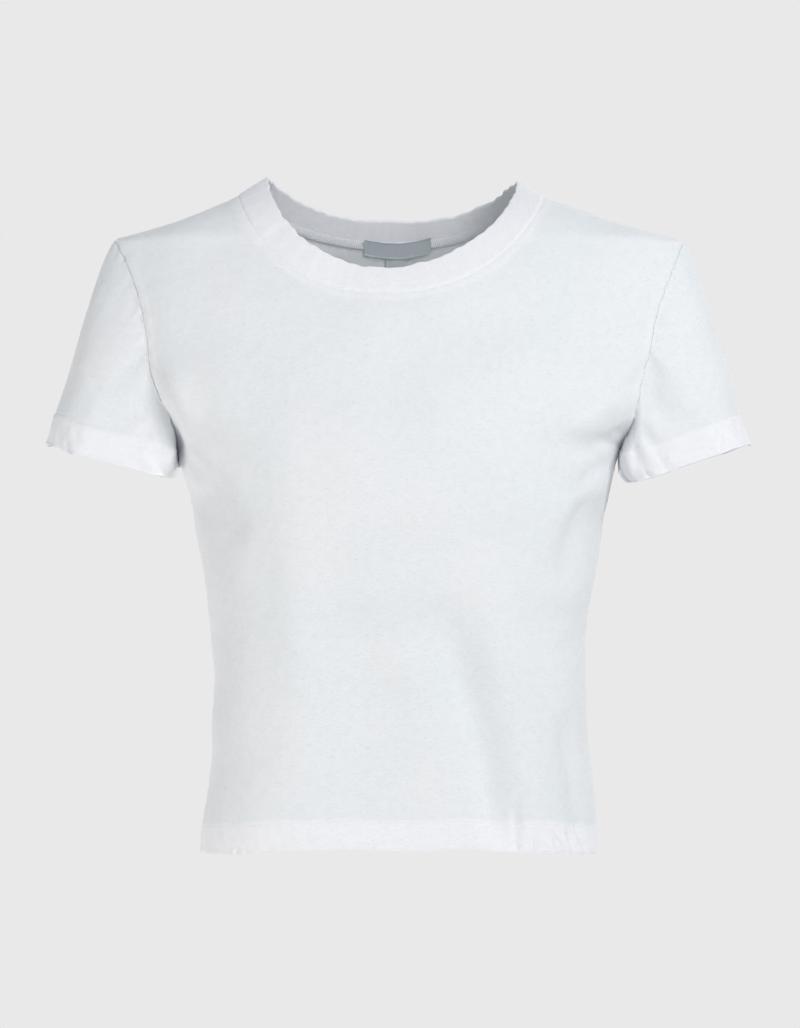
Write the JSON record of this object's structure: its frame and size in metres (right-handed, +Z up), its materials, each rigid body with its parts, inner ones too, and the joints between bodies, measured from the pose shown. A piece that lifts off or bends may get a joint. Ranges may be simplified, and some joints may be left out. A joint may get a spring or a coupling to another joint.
{
  "type": "crop top",
  "caption": "Short crew-neck top with set-in short sleeves in white slub cotton jersey, filled out as if worn, with a folded neckband, turned-up hems and a plain neck label.",
  "frame": {"origin": "midway between the shoulders, level with the neck seam where it crosses the shoulder seams, where the wearer holds the top up", "axes": "+Z up, +X to the wearer's left, the front of the top faces -Y"},
  "size_m": [0.4942, 0.2181, 0.4709],
  "materials": {
    "jersey": "matt slub cotton single jersey",
    "folded_jersey": "matt slub cotton single jersey, folded double",
    "woven_label": "plain woven polyester tape, slight sheen"
  },
  "bodies": {
    "root": {"front": "jersey", "back": "jersey", "sleeve_left": "jersey", "sleeve_right": "jersey", "neckband": "folded_jersey", "neck_label": "woven_label", "size_tab": "woven_label"}
  },
  "joints": []
}
